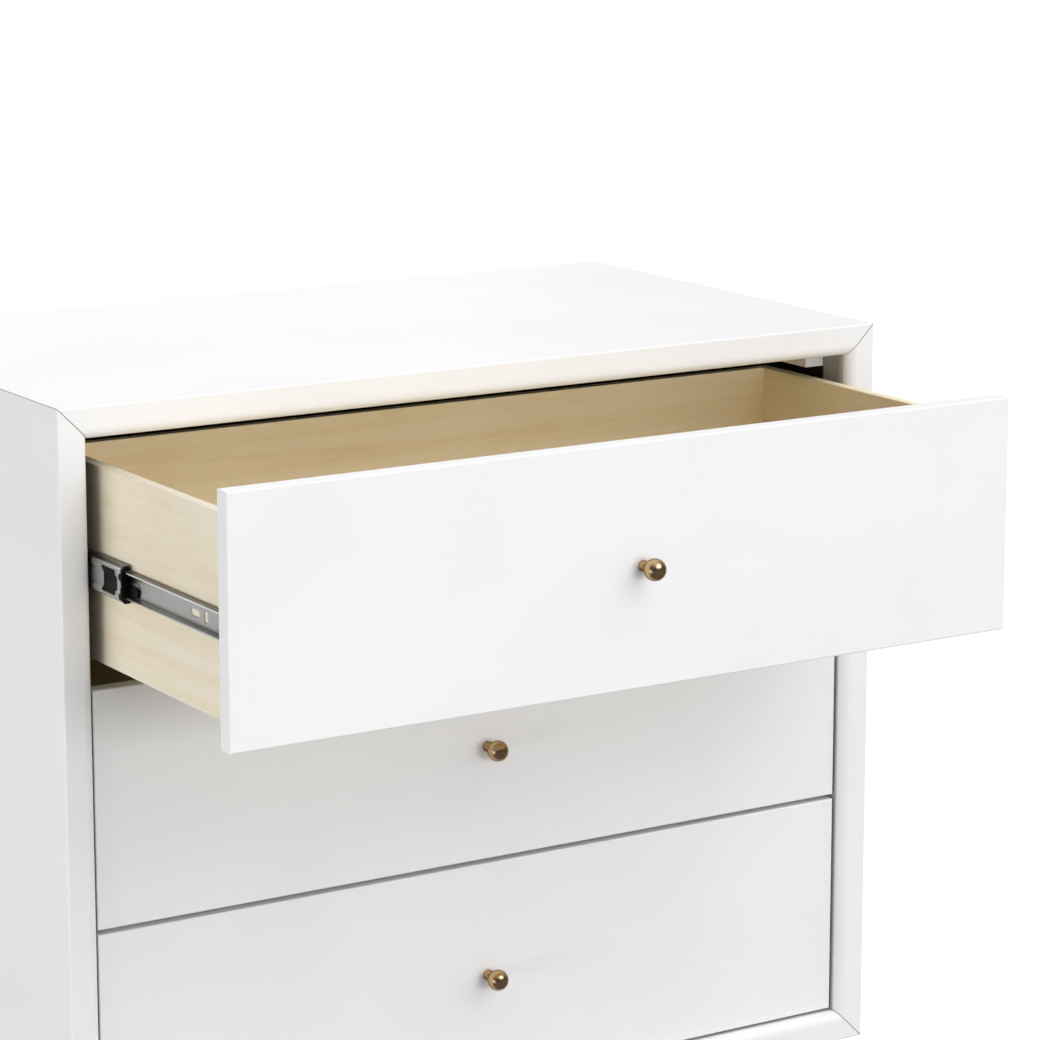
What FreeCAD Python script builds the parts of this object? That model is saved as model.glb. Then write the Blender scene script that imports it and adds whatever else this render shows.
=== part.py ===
import FreeCAD, Part
import os

from FreeCAD import Placement, Rotation, Vector

# Three-drawer chest: a mitred painted case on four turned legs, with wooden drawers on ball-bearing rails.
# Millimetres. X runs to the right, Y to the back and Z up. The origin is on the floor, at the centre of
# the ground that the whole chest covers with its top drawer pulled out, as it is stored here.

# ---------------------------------------------------------------- case
overall_width = 883.0
case_depth = 504.0
case_height = 738.0
panel_thickness = 30.0
outer_edge_radius = 2.0       # eased front edge on the outside of the case
side_edge_radius = 1.2        # eased long edges where two mitred panels meet
inner_edge_radius = 10.5      # soft round-over that leads in to the drawer fronts
mitre_gap = 0.3               # hairline that shows along each mitre at the front, and its depth
back_thickness = 6.0
rebate_width = 10.0           # how far the back panel laps on to each case panel
rebate_depth = 8.0
batten_width = 21.0
batten_height = 16.0
batten_length = 400.0
batten_setback = {-1: 60.0, 1: 43.0}  # from the case front to the left and right battens' front ends
batten_screw_end = 17.0       # first screw, from the batten's front end
batten_screw_stagger = 35.0   # upright screws lie this far behind the level ones
counterbore_radius = 4.0
counterbore_depth = 6.0
back_screw_edge = 5.0         # from the back panel's own edge
anchor_spacing = 40.0         # two pilot holes for a wall strap
anchor_radius = 1.75
anchor_depth = 25.0

# ---------------------------------------------------------------- legs
leg_height = 126.0            # floor to the underside of the case
leg_top_radius = 23.0
leg_foot_radius = 13.0
leg_inset = 62.0              # leg centre, from the case's side, front and back
leg_edge_radius = 2.0
plate_size = 54.0
plate_thickness = 2.5
plate_corner_radius = 6.0
plate_screw_offset = 20.0
leg_bolt_radius = 4.0
leg_bolt_in_leg = 26.0
leg_bolt_in_case = 10.0
glide_height = 4.0
glide_radius = 11.5
glide_pin_radius = 2.5
glide_pin_length = 12.0

# ---------------------------------------------------------------- drawers
drawer_count = 3
front_thickness = 16.0
front_recess = 11.0           # drawer front's face, behind the case front
front_side_gap = 3.0
front_end_gap = 2.0           # over the top drawer and under the bottom one
front_gap = 4.5               # between two drawer fronts
front_edge_radius = 1.6
board_thickness = 11.0        # drawer sides, inner front and back
board_edge_radius = 1.0
box_length = 356.0
box_lift = 20.0               # box bottom, over the drawer front's lower edge
box_drop = 23.65              # box top, under the drawer front's upper edge
bottom_thickness = 5.0
groove_lift = 10.0            # groove, over the lower edge of the boards
groove_depth = 5.0
front_screw_inset_x = 120.0   # from the box's outer side
front_screw_inset_z = 40.0    # from the box's top and bottom

# ---------------------------------------------------------------- knobs
knob_ball_radius = 10.0
knob_reach = 19.6             # drawer front to the centre of the ball
knob_stem_radius = 4.9
knob_stem_length = 7.2
knob_neck_radius = 3.6
knob_neck_length = 1.0
knob_collar_radius = 5.4
knob_collar_length = 1.4
knob_screw_radius = 2.0
knob_screw_depth = 8.0

# ---------------------------------------------------------------- rails
rail_space = 12.7             # case wall to drawer side
rail_length = 350.0
middle_length = 344.0
rail_setback = 4.0            # rails' front ends, behind the back of the drawer front
rail_height_in_box = 83.9     # rail centre, over the box bottom
sheet = 1.2                   # thickness of the pressed steel
ball_radius = 1.95
ball_clearance = 0.1
cabinet_reach = 10.0          # how far the fixed member's lips come in from the case wall
middle_start = 2.8            # outside of the middle member's web, from the case wall
middle_reach = 11.3
middle_web_half = 15.3        # half the height of the middle member at its web
drawer_rail_half = 12.0
race_dip = 0.6                # depth of the ball track in the drawer member's lips
outer_ball_x = 5.0            # centre lines of the ball rows, from the case wall
inner_ball_x = 8.6
cage_thickness = 0.6
cage_width = 5.0
cage_length = 100.0
cage_balls = 5
outer_cage_from_tail = 20.0
inner_cage_from_nose = 47.0
rib_half_spacing = 7.0        # two pressed ribs along the middle member's web
rib_width = 1.6
rib_depth = 0.4
window_from_nose = 8.5        # opening in the middle member's web, near its front end
window_length = 29.0
window_half_height = 11.5
window_notch = 4.5            # the web stands in to the window's rear edge by this much
window_notch_half = 5.2
window_notch_slope = 4.8
bumper_reach = 3.0            # plastic bumper, ahead of the steel
bumper_tongue_length = 42.0
bumper_tongue_half = 10.5
bumper_lug_length = 12.0
part_clearance = 0.3          # between pieces that slide past each other
lever_from_nose = 160.0       # release lever's front end, from the drawer member's front end
lever_length = 52.0
lever_thickness = 2.1
lever_top = 3.5
lever_bottom = -9.0
round_slot_from_nose = 36.0
round_slot_radius = 3.3
round_slot_half_spacing = 3.0
long_slot_from_nose = 56.0
long_slot_length = 15.0
long_slot_half_height = 2.3
cabinet_screws_from_nose = (35.0, 165.0, 300.0)
drawer_screws_from_nose = (232.0, 285.0, 338.0)

# How far each pair of rails and each drawer is pulled out here, from the top drawer down.
# The moving rails run 175 mm out of the fixed ones, and the drawers 180 mm out of the moving rails.
middle_out = (82.0, 0.0, 0.0)
drawer_out = (180.0, 0.0, 0.0)

# ---------------------------------------------------------------- screws
screw_clearance = 0.1
wood_screw = {"radius": 1.75, "length": 28.0, "head_radius": 3.5, "head_height": 2.0}
short_screw = {"radius": 1.75, "length": 16.0, "head_radius": 3.4, "head_height": 1.3}
rail_screw = {"radius": 1.75, "length": 9.0, "head_radius": 3.0, "head_height": 1.3}
front_screw = {"radius": 1.75, "length": 22.0, "head_radius": 3.5, "head_height": 2.0}
back_screws_across = 5
back_screws_up = 3

# ---------------------------------------------------------------- places worked out from the sizes
half_width = overall_width / 2
overall_depth = (case_depth - front_recess + middle_out[0] + drawer_out[0]
                 + knob_reach + knob_ball_radius)
back_y = overall_depth / 2
case_front_y = back_y - case_depth
case_bottom_z = leg_height
case_top_z = case_bottom_z + case_height
case_middle_z = (case_bottom_z + case_top_z) / 2
wall_x = half_width - panel_thickness
inside_bottom_z = case_bottom_z + panel_thickness
inside_top_z = case_top_z - panel_thickness
front_face_y = case_front_y + front_recess
front_back_y = front_face_y + front_thickness
front_half_width = wall_x - front_side_gap
front_height = (inside_top_z - inside_bottom_z - 2 * front_end_gap
                - (drawer_count - 1) * front_gap) / drawer_count
box_height = front_height - box_lift - box_drop
box_half_width = wall_x - rail_space
box_back_y = front_back_y + box_length
rail_nose_y = front_back_y + rail_setback
drawer_lip_x = inner_ball_x - ball_radius - race_dip - sheet / 2
joggle_x = (outer_ball_x + inner_ball_x) / 2


def box(x0, x1, y0, y1, z0, z1):
    return Part.makeBox(x1 - x0, y1 - y0, z1 - z0, Vector(x0, y0, z0))


def rod(start, direction, radius, length):
    return Part.makeCylinder(radius, length, start, direction)


def prism(points, along):
    """A closed outline of points, swept along a vector."""
    return Part.Face(Part.makePolygon(points + points[:1])).extrude(along)


def turned(outline, start, direction):
    """A closed outline of (radius, height) points, turned about +Z and laid along a direction."""
    points = [Vector(radius, 0, height) for radius, height in outline]
    face = Part.Face(Part.makePolygon(points + points[:1]))
    solid = face.revolve(Vector(0, 0, 0), Vector(0, 0, 1), 360)
    solid.Placement = Placement(start, Rotation(Vector(0, 0, 1), direction))
    return solid


def mirrored_x(shape):
    return shape.mirror(Vector(0, 0, 0), Vector(1, 0, 0))


def mirrored_z(shape):
    return shape.mirror(Vector(0, 0, case_middle_z), Vector(0, 0, 1))


def rounded_edges(solid, radius, wanted):
    """Rounds the straight edges whose middle point passes the test."""
    edges = [edge for edge in solid.Edges if wanted(edge.CenterOfMass, edge)]
    return solid.makeFillet(radius, edges)


def cut(shape, tools):
    return shape.cut(tools) if tools else shape


def pieces(shape):
    """The separate solids of a shape."""
    return list(shape.Solids)


# ---------------------------------------------------------------- fasteners
def screw(size, head_seat, direction):
    """A pan-head screw with a cross recess: its head rests on head_seat and its shank runs along direction."""
    radius, length = size["radius"], size["length"]
    head_radius, head_height = size["head_radius"], size["head_height"]
    tip = 2 * radius
    outline = [(0, -head_height), (0.6 * head_radius, -head_height), (head_radius, -0.4 * head_height),
               (head_radius, 0), (radius, 0), (radius, length - tip), (0, length)]
    solid = turned(outline, Vector(0, 0, 0), Vector(0, 0, 1))
    arm = 0.6 * head_radius
    slot = 0.12 * head_radius
    depth = 0.5 * head_height
    recess = [box(-arm, arm, -slot, slot, -head_height, -head_height + depth),
              box(-slot, slot, -arm, arm, -head_height, -head_height + depth)]
    solid = solid.cut(recess)
    solid.Placement = Placement(head_seat, Rotation(Vector(0, 0, 1), direction))
    return solid


def screw_hole(size, head_seat, direction):
    """The hole that a screw's shank runs in, a little wider and longer than the shank."""
    return rod(head_seat, direction, size["radius"] + screw_clearance, size["length"] + screw_clearance)


# ---------------------------------------------------------------- case
def panel_outline():
    """Section of every case panel, in depth and thickness: thickness 0 is the outside."""
    t, outer, inner = panel_thickness, outer_edge_radius, inner_edge_radius
    front, back = case_front_y, back_y

    def corner(centre, radius, start, end):
        middle = (start + end - centre * 2).normalize() * radius + centre
        return Part.Arc(start, middle, end).toShape()

    def line(start, end):
        return Part.LineSegment(start, end).toShape()

    a, b = Vector(0, front, outer), Vector(0, front + outer, 0)
    c, d = Vector(0, back, 0), Vector(0, back, t - rebate_width)
    e = Vector(0, back - rebate_depth, t - rebate_width)
    f = Vector(0, back - rebate_depth, t)
    g, h = Vector(0, front + inner, t), Vector(0, front, t - inner)
    edges = [corner(Vector(0, front + outer, outer), outer, a, b), line(b, c), line(c, d), line(d, e),
             line(e, f), line(f, g), corner(Vector(0, front + inner, t - inner), inner, g, h), line(h, a)]
    return Part.Face(Part.Wire(edges))


def case_panel(outline, length, turn, start):
    """A full-length panel, turned about Y so that its outside faces out of the case."""
    solid = outline.extrude(Vector(length, 0, 0))
    solid.Placement = Placement(start, Rotation(Vector(0, 1, 0), turn))
    return solid


def case_panels():
    """Four panels mitred to each other, without their holes."""
    outside = box(-half_width, half_width, case_front_y, back_y, case_bottom_z, case_top_z)
    outside = rounded_edges(outside, side_edge_radius, lambda middle, edge: abs(
        edge.tangentAt(edge.FirstParameter).y) > 0.5)
    corners = [Vector(-half_width, case_front_y, case_bottom_z), Vector(half_width, case_front_y, case_bottom_z),
               Vector(half_width, case_front_y, case_top_z), Vector(-half_width, case_front_y, case_top_z)]
    inward = [Vector(1, 0, 1), Vector(-1, 0, 1), Vector(-1, 0, -1), Vector(1, 0, -1)]
    inner = [corner + way * panel_thickness for corner, way in zip(corners, inward)]
    blanks = {
        "bottom_panel": (overall_width, 0, corners[0]),
        "right_panel": (case_height, -90, corners[1]),
        "top_panel": (overall_width, 180, corners[2]),
        "left_panel": (case_height, 90, corners[3]),
    }
    hairlines = []
    for corner, way in zip(corners, inward):
        across = Vector(way.z, 0, -way.x).normalize() * (mitre_gap / 2)
        start, end = corner - way, corner + way * (panel_thickness + 1)
        hairlines.append(prism([start - across, end - across, end + across, start + across],
                               Vector(0, inner_edge_radius, 0)))
    outline = panel_outline()
    core = outline.makeOffset2D(-mitre_gap)
    made = {}
    for side, (name, (length, turn, start)) in enumerate(blanks.items()):
        after = (side + 1) % 4
        mitre = prism([corners[side], corners[after], inner[after], inner[side]], Vector(0, case_depth, 0))
        flat = Vector(start.x, 0, start.z)
        kept = case_panel(core, length, turn, flat)
        grooves = [hairlines[end].cut(kept) for end in (side, after)]
        made[name] = case_panel(outline, length, turn, flat).common(mitre).common(outside).cut(grooves)
    return made


def batten(x_side, z_side):
    """One corner batten with its screws: x_side -1 is the left wall, z_side 1 the top panel."""
    y0 = case_front_y + batten_setback[x_side]
    z1 = inside_top_z
    x0 = -wall_x
    solid = box(x0, x0 + batten_width, y0, y0 + batten_length, z1 - batten_height, z1)
    level_y = [y0 + batten_screw_end, y0 + batten_length / 2, y0 + batten_length - batten_screw_end
               - batten_screw_stagger]
    screws, holes, bores = [], [], []
    for y in level_y:
        face = Vector(x0 + batten_width, y, z1 - batten_height / 2)
        way = Vector(-1, 0, 0)
        seat = face + way * counterbore_depth
        screws.append(screw(wood_screw, seat, way))
        holes.append(screw_hole(wood_screw, seat, way))
        bores.append(rod(face, way, counterbore_radius, counterbore_depth))
        face = Vector(x0 + batten_width / 2, y + batten_screw_stagger, z1 - batten_height)
        way = Vector(0, 0, 1)
        seat = face + way * counterbore_depth
        screws.append(screw(wood_screw, seat, way))
        holes.append(screw_hole(wood_screw, seat, way))
        bores.append(rod(face, way, counterbore_radius, counterbore_depth))
    solid = solid.cut(holes + bores)
    groups = [[solid], screws, holes]
    if z_side < 0:
        groups = [[mirrored_z(shape) for shape in group] for group in groups]
    if x_side > 0:
        groups = [[mirrored_x(shape) for shape in group] for group in groups]
    return groups


def back_panel():
    """The back panel, let in to the rebates, with its screws."""
    lap = panel_thickness - rebate_width + screw_clearance
    x1, z0, z1 = half_width - lap, case_bottom_z + lap, case_top_z - lap
    y0 = back_y - rebate_depth
    y1 = y0 + back_thickness
    solid = box(-x1, x1, y0, y1, z0, z1)
    across = [(-1 + 2 * i / (back_screws_across - 1)) * (x1 - back_screw_edge)
              for i in range(back_screws_across)]
    up = [z0 + (i + 1) * (z1 - z0) / (back_screws_up + 1) for i in range(back_screws_up)]
    places = [(x, z) for x in across for z in (z0 + back_screw_edge, z1 - back_screw_edge)]
    places += [(x, z) for x in (back_screw_edge - x1, x1 - back_screw_edge) for z in up]
    seats = [Vector(x, y1, z) for x, z in places]
    way = Vector(0, -1, 0)
    screws = [screw(short_screw, seat, way) for seat in seats]
    holes = [screw_hole(short_screw, seat, way) for seat in seats]
    return solid.cut(holes), screws, holes


def leg_places():
    x = half_width - leg_inset
    return {"leg_front_left": (-x, case_front_y + leg_inset), "leg_front_right": (x, case_front_y + leg_inset),
            "leg_back_left": (-x, back_y - leg_inset), "leg_back_right": (x, back_y - leg_inset)}


def leg(x, y):
    """A turned leg with its plate, bolt, glide and plate screws, and the holes they need in the case."""
    top = case_bottom_z - plate_thickness
    up = Vector(0, 0, 1)
    solid = Part.makeCone(leg_foot_radius, leg_top_radius, top - glide_height, Vector(x, y, glide_height), up)
    round_edges = [edge for edge in solid.Edges if edge.Curve.TypeId == "Part::GeomCircle"]
    solid = solid.makeFillet(leg_edge_radius, round_edges)
    bolt_start = Vector(x, y, top - leg_bolt_in_leg)
    bolt_length = leg_bolt_in_leg + plate_thickness + leg_bolt_in_case
    bolt = rod(bolt_start, up, leg_bolt_radius, bolt_length)
    bolt_hole = rod(bolt_start - up * screw_clearance, up, leg_bolt_radius + screw_clearance,
                    bolt_length + 2 * screw_clearance)
    glide = rod(Vector(x, y, 0), up, glide_radius, glide_height)
    pin = rod(Vector(x, y, glide_height), up, glide_pin_radius, glide_pin_length)
    pin_hole = rod(Vector(x, y, glide_height), up, glide_pin_radius + screw_clearance,
                   glide_pin_length + screw_clearance)
    half = plate_size / 2
    plate = box(x - half, x + half, y - half, y + half, top, case_bottom_z)
    plate = rounded_edges(plate, plate_corner_radius, lambda middle, edge: abs(
        edge.tangentAt(edge.FirstParameter).z) > 0.5)
    seats = [Vector(x + i * plate_screw_offset, y + j * plate_screw_offset, top)
             for i in (-1, 1) for j in (-1, 1)]
    screws = [screw(short_screw, seat, up) for seat in seats]
    holes = [screw_hole(short_screw, seat, up) for seat in seats] + [bolt_hole]
    return {"leg": solid.cut([bolt_hole, pin_hole]), "plate": plate.cut(holes), "glide": glide.fuse(pin),
            "metal": screws + [bolt], "holes": holes}


# ---------------------------------------------------------------- rails, drawn for the left side of one drawer
def strip(points, y0, length):
    """A pressed steel strip: a line of (distance from the case wall, height) points, given its thickness."""
    path = Part.makePolygon([Vector(-wall_x + x, y0, z) for x, z in points])
    return Part.Face(path.makeOffset2D(sheet / 2, 0, False, False)).extrude(Vector(0, length, 0))


def both_ways(points):
    """A line from an upper lip to the web, and the same mirrored to the lower lip."""
    return points + [(x, -z) for x, z in reversed(points)]


def ball_rows():
    """Heights of the two rows of balls over the rail's centre line, the inner row first."""
    inner = drawer_rail_half - race_dip + ball_clearance / 2 + ball_radius
    outer = middle_web_half + ball_clearance + ball_radius
    return inner, outer


def cabinet_rail(rail_z):
    """The fixed member, with its screws."""
    lip_z = ball_rows()[1] + ball_radius + ball_clearance + sheet / 2
    solid = strip(both_ways([(cabinet_reach - sheet / 2, lip_z), (sheet / 2, lip_z)]), rail_nose_y, rail_length)
    solid.translate(Vector(0, 0, rail_z))
    way = Vector(-1, 0, 0)
    seats = [Vector(-wall_x + sheet, rail_nose_y + y, rail_z) for y in cabinet_screws_from_nose]
    holes = [screw_hole(short_screw, seat, way) for seat in seats]
    return solid.cut(holes), [screw(short_screw, seat, way) for seat in seats], holes


def window_outline(margin):
    """Opening in the middle member's web, in depth and height, less a margin all round."""
    y0 = window_from_nose + margin
    y1 = window_from_nose + window_length - margin
    top, notch_z, notch_y = window_half_height - margin, window_notch_half + margin, y1 - window_notch
    upper = [(y0, top), (y1, top), (y1, notch_z + window_notch_slope), (notch_y, notch_z)]
    return upper + [(y, -z) for y, z in reversed(upper)]


def window_block(x0, x1, rail_z, margin):
    points = [Vector(-wall_x + x0, rail_nose_y + y, rail_z + z) for y, z in window_outline(margin)]
    return prism(points, Vector(x1 - x0, 0, 0))


def middle_rail(rail_z):
    """The middle member: two ribs along its web and a window behind its front end."""
    lip_z = ball_rows()[0] + ball_radius + ball_clearance + sheet / 2
    web_x, web_z = middle_start + sheet / 2, middle_web_half - sheet / 2
    upper = [(middle_reach - sheet / 2, lip_z), (joggle_x + sheet / 2, lip_z), (joggle_x - sheet / 2, web_z),
             (web_x, web_z)]
    solid = strip(both_ways(upper), rail_nose_y, middle_length)
    solid.translate(Vector(0, 0, rail_z))
    x0 = -wall_x + middle_start
    ribs = [box(x0, x0 + rib_depth, rail_nose_y + window_from_nose + window_length, rail_nose_y + middle_length,
                rail_z + z - rib_width / 2, rail_z + z + rib_width / 2)
            for z in (-rib_half_spacing, rib_half_spacing)]
    return solid.cut(ribs + [window_block(middle_start - 1, middle_start + sheet + 1, rail_z, 0)])


def bumper(rail_z):
    """The black plastic bumper in the middle member's front end, seen through the window."""
    web_back = middle_start + sheet
    cap_x = (middle_start - sheet / 2, middle_reach + part_clearance)
    lip_z = ball_rows()[0] + ball_radius + ball_clearance
    cap_z = lip_z + sheet
    tongue_x = (web_back, drawer_lip_x - part_clearance)
    lug_x = (joggle_x + sheet, middle_reach - part_clearance)
    lug_z = (drawer_rail_half + part_clearance, lip_z - part_clearance)
    nose = rail_nose_y

    def at(x0, x1, y0, y1, z0, z1):
        return box(-wall_x + x0, -wall_x + x1, nose + y0, nose + y1, rail_z + z0, rail_z + z1)

    cap = at(cap_x[0], cap_x[1], -bumper_reach, 0, -cap_z, cap_z)
    cap = rounded_edges(cap, 1.0, lambda middle, edge: middle.y < nose - bumper_reach / 2)
    cap = cap.cut(at(tongue_x[1], cap_x[1], -bumper_reach, 0, -lug_z[0], lug_z[0]))
    added = [
        at(tongue_x[0], tongue_x[1], -bumper_reach / 2, bumper_tongue_length, -bumper_tongue_half,
           bumper_tongue_half),
        at(lug_x[0], lug_x[1], -bumper_reach / 2, bumper_lug_length, lug_z[0], lug_z[1]),
        at(lug_x[0], lug_x[1], -bumper_reach / 2, bumper_lug_length, -lug_z[1], -lug_z[0]),
        window_block(web_back - sheet / 2, web_back, rail_z, part_clearance),
    ]
    return cap.fuse(added).removeSplitter()


def ball_cage(x, z, y0):
    """One flat strip that carries a row of balls."""
    plate = box(-wall_x + x - cage_width / 2, -wall_x + x + cage_width / 2, y0, y0 + cage_length,
                z - cage_thickness / 2, z + cage_thickness / 2)
    centres = [Vector(-wall_x + x, y0 + (i + 0.5) * cage_length / cage_balls, z) for i in range(cage_balls)]
    plate = plate.cut([Part.makeSphere(ball_radius + ball_clearance, centre) for centre in centres])
    return [plate] + [Part.makeSphere(ball_radius, centre) for centre in centres]


def ball_cages(rail_z):
    inner_z, outer_z = ball_rows()
    outer_y = rail_nose_y + middle_length - outer_cage_from_tail - cage_length
    inner_y = rail_nose_y + inner_cage_from_nose
    made = []
    for way in (-1, 1):
        made += ball_cage(outer_ball_x, rail_z + way * outer_z, outer_y)
        made += ball_cage(inner_ball_x, rail_z + way * inner_z, inner_y)
    return made


def drawer_rail(rail_z):
    """The drawer member: lips with a shallow ball track, two slots near the front, and its screws."""
    web_x, flat_z = rail_space - sheet / 2, drawer_rail_half - sheet / 2
    tip_x = drawer_lip_x + sheet / 2
    track = (inner_ball_x - ball_radius, inner_ball_x + ball_radius)
    upper = [(tip_x, flat_z), (track[0], flat_z - race_dip), (track[1], flat_z - race_dip),
             (track[1] + race_dip, flat_z), (web_x, flat_z)]
    solid = strip(both_ways(upper), rail_nose_y, rail_length)
    solid.translate(Vector(0, 0, rail_z))
    through = Vector(1, 0, 0)
    x0 = -wall_x + rail_space - 2 * sheet
    slot_y = rail_nose_y + round_slot_from_nose
    slots = [rod(Vector(x0, slot_y, rail_z + z), through, round_slot_radius, 3 * sheet)
             for z in (-round_slot_half_spacing, round_slot_half_spacing)]
    long_y = rail_nose_y + long_slot_from_nose
    reach = long_slot_length / 2 - long_slot_half_height
    slots += [rod(Vector(x0, long_y + y, rail_z), through, long_slot_half_height, 3 * sheet)
              for y in (-reach, reach)]
    slots.append(box(x0, x0 + 3 * sheet, long_y - reach, long_y + reach, rail_z - long_slot_half_height,
                     rail_z + long_slot_half_height))
    seats = [Vector(-wall_x + rail_space - sheet, rail_nose_y + y, rail_z) for y in drawer_screws_from_nose]
    holes = [screw_hole(rail_screw, seat, through) for seat in seats]
    return solid.cut(slots + holes), [screw(rail_screw, seat, through) for seat in seats], holes


def release_lever(rail_z):
    """The black lever on the drawer member that lets the drawer come off its rails."""
    y0 = rail_nose_y + lever_from_nose
    x1 = -wall_x + rail_space - sheet
    nose, waist = 12.0, 26.0
    outline = [(0, -1.0), (nose, lever_top), (lever_length, lever_top), (lever_length, -2.0), (waist, -3.0),
               (nose, lever_bottom), (2.0, lever_bottom), (0, -6.0)]
    points = [Vector(x1 - lever_thickness, y0 + y, rail_z + z) for y, z in outline]
    return prism(points, Vector(lever_thickness, 0, 0))


# ---------------------------------------------------------------- drawers
def drawer_front(z0, z1):
    solid = box(-front_half_width, front_half_width, front_face_y, front_back_y, z0, z1)
    return rounded_edges(solid, front_edge_radius, lambda middle, edge: middle.y < front_face_y + 0.5)


def drawer_boards(z0):
    """The box's boards, grooved for its bottom. z0 is the box's lower edge."""
    z1 = z0 + box_height
    x1, x0 = box_half_width, box_half_width - board_thickness
    y0, y1 = front_back_y, box_back_y
    groove_z = z0 + groove_lift
    room = screw_clearance
    groove = box(-x0 - groove_depth, x0 + groove_depth, y0 + board_thickness - groove_depth,
                 y1 - board_thickness + groove_depth, groove_z, groove_z + bottom_thickness + 2 * room)

    def eased(board, along):
        return rounded_edges(board, board_edge_radius, lambda middle, edge: middle.z > z1 - 0.1 and abs(
            edge.tangentAt(edge.FirstParameter).dot(along)) > 0.5)

    side = eased(box(-x1, -x0, y0, y1, z0, z1), Vector(0, 1, 0)).cut(groove)
    inner_front = eased(box(-x0, x0, y0, y0 + board_thickness, z0, z1), Vector(1, 0, 0)).cut(groove)
    back = eased(box(-x0, x0, y1 - board_thickness, y1, z0, z1), Vector(1, 0, 0)).cut(groove)
    lap = groove_depth - room
    bottom = box(-x0 - lap, x0 + lap, y0 + board_thickness - lap, y1 - board_thickness + lap,
                 groove_z + room, groove_z + room + bottom_thickness)
    return {"side_left": side, "side_right": mirrored_x(side), "inner_front": inner_front, "back": back,
            "bottom": bottom}


def knob(centre_z):
    """A turned knob: stem, neck, collar and ball, drilled for its screw."""
    collar_end = knob_stem_length + knob_neck_length + knob_collar_length
    stem = turned([(0, 0), (knob_stem_radius - 0.4, 0), (knob_stem_radius, 0.4),
                   (knob_stem_radius, knob_stem_length - 0.4), (knob_stem_radius - 0.4, knob_stem_length),
                   (knob_neck_radius, knob_stem_length), (knob_neck_radius, knob_stem_length + knob_neck_length),
                   (knob_collar_radius - 0.3, knob_stem_length + knob_neck_length),
                   (knob_collar_radius, knob_stem_length + knob_neck_length + 0.3),
                   (knob_collar_radius, collar_end), (0, knob_reach)],
                  Vector(0, front_face_y, centre_z), Vector(0, -1, 0))
    ball = Part.makeSphere(knob_ball_radius, Vector(0, front_face_y - knob_reach, centre_z), Vector(0, 1, 0))
    hole = rod(Vector(0, front_face_y, centre_z), Vector(0, -1, 0), knob_screw_radius + screw_clearance,
               knob_screw_depth + screw_clearance)
    return stem.fuse(ball).cut(hole)


def drawer_fixings(z0, knob_z):
    """Screws that hold the drawer front and the knob, driven from inside the box, and their holes."""
    way = Vector(0, -1, 0)
    seat_y = front_back_y + board_thickness
    x = box_half_width - front_screw_inset_x
    seats = [Vector(i * x, seat_y, z) for i in (-1, 1)
             for z in (z0 + front_screw_inset_z, z0 + box_height - front_screw_inset_z)]
    screws = [screw(front_screw, seat, way) for seat in seats]
    holes = [screw_hole(front_screw, seat, way) for seat in seats]
    size = {"radius": knob_screw_radius, "length": board_thickness + front_thickness + knob_screw_depth,
            "head_radius": 4.0, "head_height": 2.4}
    knob_seat = Vector(0, seat_y, knob_z)
    screws.append(screw(size, knob_seat, way))
    holes.append(screw_hole(size, knob_seat, way))
    return screws, holes


def drawer(index):
    """All the nodes of one drawer and its moving rails, and what its fixed rails need in the case."""
    number = index + 1
    z1 = inside_top_z - front_end_gap - index * (front_height + front_gap)
    z0 = z1 - front_height
    box_z = z0 + box_lift
    rail_z = box_z + rail_height_in_box
    knob_z = (z0 + z1) / 2
    fixings, front_holes = drawer_fixings(box_z, knob_z)
    rail, rail_screws, rail_holes = drawer_rail(rail_z)
    side_holes = rail_holes + [mirrored_x(hole) for hole in rail_holes]
    boards = drawer_boards(box_z)
    lever, stop, cages, middle = release_lever(rail_z), bumper(rail_z), ball_cages(rail_z), middle_rail(rail_z)

    riding = {
        "front": [drawer_front(z0, z1).cut(front_holes)],
        "inner_front": [boards["inner_front"].cut(front_holes)],
        "side_left": [boards["side_left"].cut(side_holes)],
        "side_right": [boards["side_right"].cut(side_holes)],
        "back": [boards["back"]],
        "bottom": [boards["bottom"]],
        "knob": [knob(knob_z)],
        "rail_left": [rail],
        "rail_right": [mirrored_x(rail)],
        "release_levers": [lever, mirrored_x(lever)],
        "fixings": fixings + rail_screws + [mirrored_x(shape) for shape in rail_screws],
    }
    sliding = {
        "middle_rail_left": [middle],
        "middle_rail_right": [mirrored_x(middle)],
        "rail_bumpers": [stop, mirrored_x(stop)],
        "ball_cages": cages + [mirrored_x(shape) for shape in cages],
    }
    moved = {}
    rails_out = Vector(0, -middle_out[index], 0)
    drawer_moved = rails_out + Vector(0, -drawer_out[index], 0)
    for group, way in ((sliding, rails_out), (riding, drawer_moved)):
        for name, shapes in group.items():
            moved[f"drawer_{number}_{name}"] = [shape.translated(way) for shape in shapes]
    return moved, cabinet_rail(rail_z)


# ---------------------------------------------------------------- assembly
def wall_anchor_holes():
    z = case_top_z - (panel_thickness - rebate_width) / 2
    return [rod(Vector(x, back_y, z), Vector(0, -1, 0), anchor_radius, anchor_depth)
            for x in (-anchor_spacing / 2, anchor_spacing / 2)]


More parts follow.
